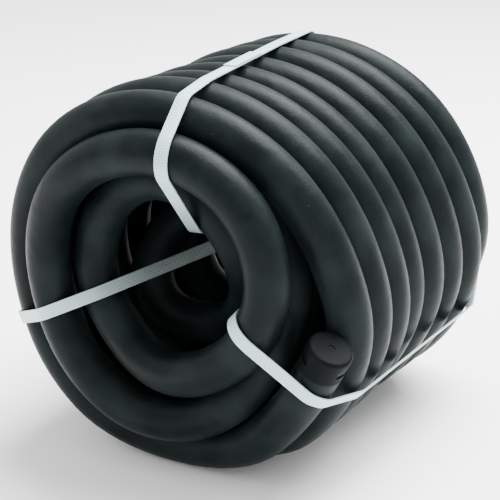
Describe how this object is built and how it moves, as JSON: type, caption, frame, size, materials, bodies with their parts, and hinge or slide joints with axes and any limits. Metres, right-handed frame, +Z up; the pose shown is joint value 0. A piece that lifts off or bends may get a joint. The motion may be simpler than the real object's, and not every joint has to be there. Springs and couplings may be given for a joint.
{
  "type": "soaker hose",
  "caption": "Porous rubber soaker hose in its shipping coil, with a capped end, a swivelling threaded inlet coupling and straps that hold the coil.",
  "frame": {"origin": "under the middle of the coil, on the surface that the flattened foot of its outer turns rests on", "axes": "+Y along the coil's axis, from the capped front to the inlet at the back; +Z up; +X to the right as seen from the front"},
  "size_m": [0.1753, 0.2084, 0.1703],
  "materials": {
    "hose": "dark slate grey porous rubber, matt with a soft sheen",
    "cap": "black moulded plastic",
    "coupling": "black moulded plastic",
    "ferrule": "drawn and crimped",
    "washer": "soft black rubber",
    "disc": "natural nylon",
    "strap": "white woven polypropylene strapping"
  },
  "bodies": {
    "hose": {"hose_outer_layer": "hose", "hose_second_layer": "hose", "hose_core_turns": "hose", "end_cap": "cap", "end_plug": "cap", "inlet_tail": "coupling", "flow_disc": "disc", "inlet_ferrule": "ferrule", "strap_top": "strap", "strap_right": "strap", "strap_left": "strap"},
    "swivel_nut": {"inlet_nut": "coupling", "inlet_washer": "washer"}
  },
  "joints": [
    {"name": "inlet_nut_spin", "type": "hinge", "parent": "hose", "child": "swivel_nut", "pos_m": [-0.00984, 0.09249, 0.0629], "axis": [0, 1, 0], "continuous": true}
  ]
}
